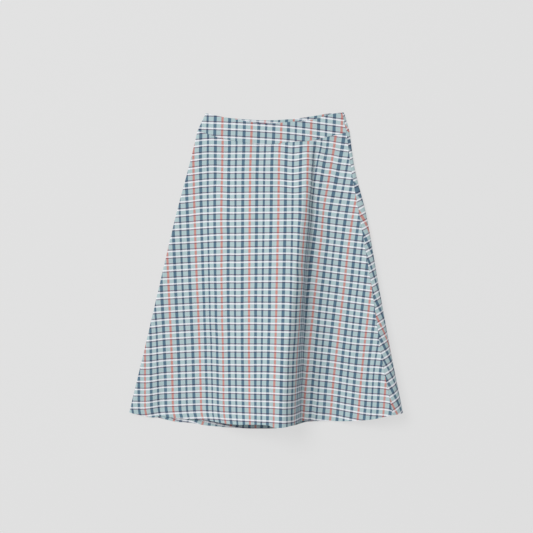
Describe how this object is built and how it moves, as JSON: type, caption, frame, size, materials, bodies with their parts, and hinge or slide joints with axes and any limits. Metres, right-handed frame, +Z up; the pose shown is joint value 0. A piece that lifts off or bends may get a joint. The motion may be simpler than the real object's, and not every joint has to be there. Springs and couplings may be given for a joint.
{
  "type": "a-line midi skirt of checked cotton, laid flat",
  "caption": "A-line midi skirt with a contoured waistband, laid face up with one tall flute in its front and a soft roll at its right side.",
  "frame": {"origin": "centre of the skirt's box, on the surface it lies on", "axes": "+X across the skirt to its rolled side, +Y towards the waist, +Z up from the surface, out of the skirt's front"},
  "size_m": [0.6775, 0.7882, 0.136],
  "materials": {
    "panel_cloth": "matt plain-weave cotton, checked",
    "band_cloth": "matt plain-weave cotton, checked, stiffened"
  },
  "bodies": {
    "root": {"skirt_front": "panel_cloth", "skirt_back": "panel_cloth", "waistband_front": "band_cloth", "waistband_back": "band_cloth"}
  },
  "joints": []
}
